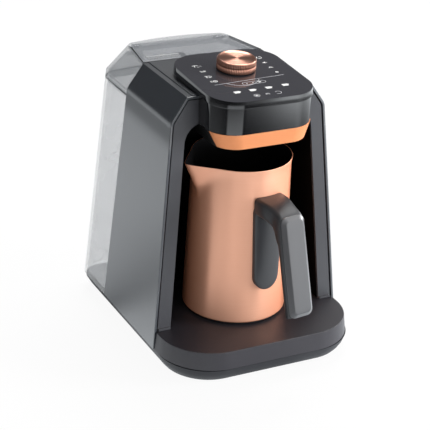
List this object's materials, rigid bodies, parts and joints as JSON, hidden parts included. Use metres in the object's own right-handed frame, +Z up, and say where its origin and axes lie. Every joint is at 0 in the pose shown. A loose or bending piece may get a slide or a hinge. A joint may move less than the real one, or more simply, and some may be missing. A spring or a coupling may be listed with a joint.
{
  "type": "electric turkish coffee maker",
  "caption": "Electric turkish coffee maker with a pull-out spouted pot on a hot plate, an overhanging control head with a rotary knob, and a lift-off rear water tank with a hinged filling flap.",
  "frame": {"origin": "table plane under the centre of the overall box", "axes": "+Z up, front faces -Y, +X to the right seen from the front"},
  "size_m": [0.1788, 0.2424, 0.2512],
  "materials": {
    "shell_plastic": "satin anthracite ABS, fine spark-eroded grain",
    "frame_plastic": "satin dark grey ABS",
    "deck_plastic": "semi-gloss dark grey ABS",
    "base_plastic": "fine grained dark grey ABS",
    "niche_plastic": "black moulded ABS",
    "head_gloss": "piano-black moulded ABS",
    "rim_gloss": "piano-black moulded ABS",
    "panel_glass": "black back-printed glass",
    "trim_metal": "rose copper anodised sheet",
    "knob_metal": "rose copper anodised, spun face and knurled rim",
    "pot_metal": "steel with satin rose copper coating",
    "handle_plastic": "satin black phenolic",
    "insert_plastic": "satin grey moulded ABS",
    "tank_plastic": "smoke translucent SAN",
    "cover_plastic": "smoke translucent SAN",
    "heater_metal": "black non-stick coated plate",
    "element_steel": "sheathed heating tube",
    "steel": "zinc plated steel",
    "brass_parts": "turned brass",
    "dark_parts": "black moulded nylon",
    "light_parts": "natural moulded polypropylene",
    "strainer_plastic": "moulded polypropylene",
    "valve_blue": "moulded acetal",
    "relay_case": "moulded PBT",
    "circuit_board": "glass-epoxy board with green solder resist",
    "copper_winding": "lacquered copper winding",
    "silicone_hose": "milky silicone tube",
    "red_seal": "moulded silicone",
    "red_lead": "silicone insulated lead",
    "rubber": "moulded black rubber"
  },
  "bodies": {
    "housing": {"base_tray": "base_plastic", "rubber_feet": "rubber", "base_screws": "steel", "base_deck": "deck_plastic", "tank_shelf": "base_plastic", "outer_shell": "shell_plastic", "top_plate": "shell_plastic", "front_frame": "frame_plastic", "niche_liner": "niche_plastic", "rear_panel": "base_plastic", "heater_plate": "heater_metal", "heater_seal": "rubber", "heating_element": "element_steel", "heater_bracket": "steel", "heater_screws": "steel", "temperature_sensor": "brass_parts", "head_housing": "head_gloss", "metal_trim": "trim_metal", "splash_plate": "niche_plastic", "panel_frame": "rim_gloss", "glass_panel": "panel_glass", "touch_board": "circuit_board", "control_board": "circuit_board", "encoder": "steel", "buzzer": "dark_parts", "foam_sensor": "dark_parts", "water_nozzle": "light_parts", "pump_housing": "light_parts", "pump_motor": "steel", "pump_bracket": "steel", "inlet_hose": "silicone_hose", "outlet_hose": "silicone_hose", "valve_socket": "light_parts", "socket_seal": "red_seal", "power_board": "circuit_board", "transformer": "copper_winding", "relay": "relay_case", "board_screws": "steel", "panel_cable": "dark_parts", "heater_leads": "red_lead", "cable_gland": "rubber"},
    "knob": {"knob_cap": "knob_metal", "knob_core": "dark_parts", "encoder_shaft": "steel"},
    "pot": {"pot_body": "pot_metal", "pot_ring": "dark_parts", "pot_handle": "handle_plastic", "handle_insert": "insert_plastic", "handle_screws": "steel"},
    "tank": {"water_tank": "tank_plastic", "tank_cover": "cover_plastic", "hinge_pins": "steel", "valve_body": "light_parts", "valve_plunger": "valve_blue", "valve_spring": "steel", "inlet_strainer": "strainer_plastic"},
    "flap": {"tank_flap": "cover_plastic"},
    "rotor": {"pump_rotor": "light_parts"}
  },
  "joints": [
    {"name": "knob_turn", "type": "hinge", "parent": "housing", "child": "knob", "pos_m": [0, -0.00085, 0.24022], "axis": [0, -0.0506, 0.9987], "continuous": true},
    {"name": "pot_pull", "type": "slide", "parent": "housing", "child": "pot", "axis": [0, -1, 0], "range_m": [0, 0.2]},
    {"name": "tank_lift", "type": "slide", "parent": "housing", "child": "tank", "axis": [0, 0, 1], "range_m": [0, 0.22]},
    {"name": "flap_open", "type": "hinge", "parent": "tank", "child": "flap", "pos_m": [0, 0.1105, 0.22796], "axis": [-1, 0, 0], "range_deg": [0, 95]},
    {"name": "rotor_spin", "type": "hinge", "parent": "housing", "child": "rotor", "pos_m": [-0.042, 0.045, 0.05], "axis": [0, 0, 1], "continuous": true}
  ]
}
